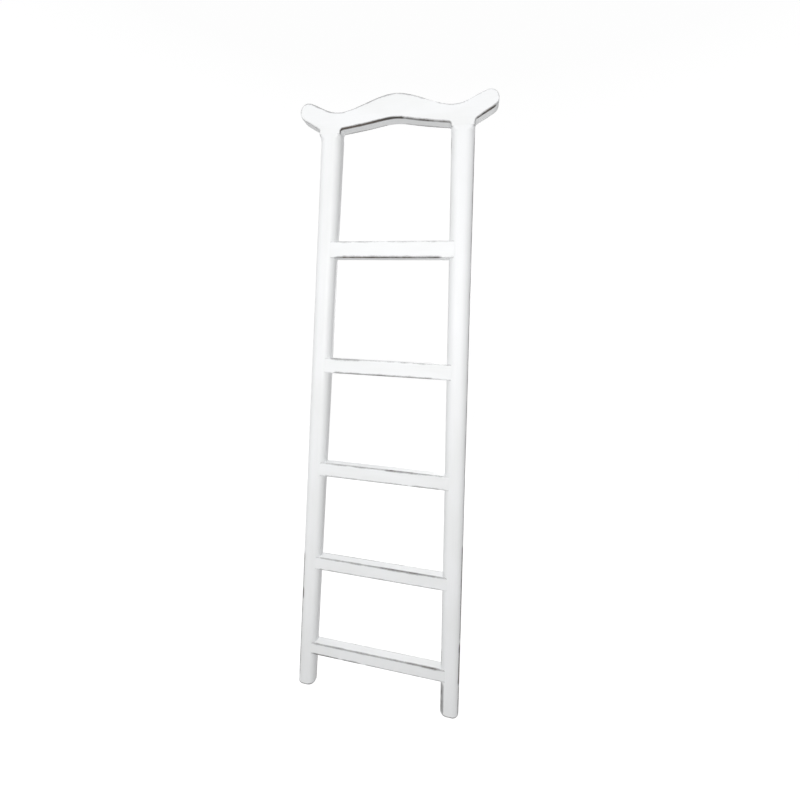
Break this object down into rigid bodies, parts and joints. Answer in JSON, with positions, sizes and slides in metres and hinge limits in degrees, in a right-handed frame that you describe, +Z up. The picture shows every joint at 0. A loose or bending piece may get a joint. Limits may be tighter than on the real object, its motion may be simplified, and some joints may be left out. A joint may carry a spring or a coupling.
{
  "type": "yoke-rail towel ladder",
  "caption": "Painted wooden towel ladder with splayed stiles, flat rungs and a yoke-shaped top rail with upswept rounded ears.",
  "frame": {"origin": "on the floor, midway between the feet and midway through the depth of the stiles", "axes": "+Z up, +X along the rungs, the front of the ladder faces -Y"},
  "size_m": [0.52, 0.036, 1.686],
  "materials": {
    "painted_wood": "chalky off-white brushed paint, rubbed through to dark wood along the arrises",
    "peg_wood": "hardwood peg ends under a thin worn coat of the same paint"
  },
  "bodies": {
    "root": {"left_stile": "painted_wood", "right_stile": "painted_wood", "yoke_rail": "painted_wood", "rung_1": "painted_wood", "rung_2": "painted_wood", "rung_3": "painted_wood", "rung_4": "painted_wood", "rung_5": "painted_wood", "peg_rung_1_left": "peg_wood", "peg_rung_2_left": "peg_wood", "peg_rung_3_left": "peg_wood", "peg_rung_4_left": "peg_wood", "peg_rung_5_left": "peg_wood", "peg_rung_1_right": "peg_wood", "peg_rung_2_right": "peg_wood", "peg_rung_3_right": "peg_wood", "peg_rung_4_right": "peg_wood", "peg_rung_5_right": "peg_wood", "peg_yoke_left": "peg_wood", "peg_yoke_right": "peg_wood"}
  },
  "joints": []
}
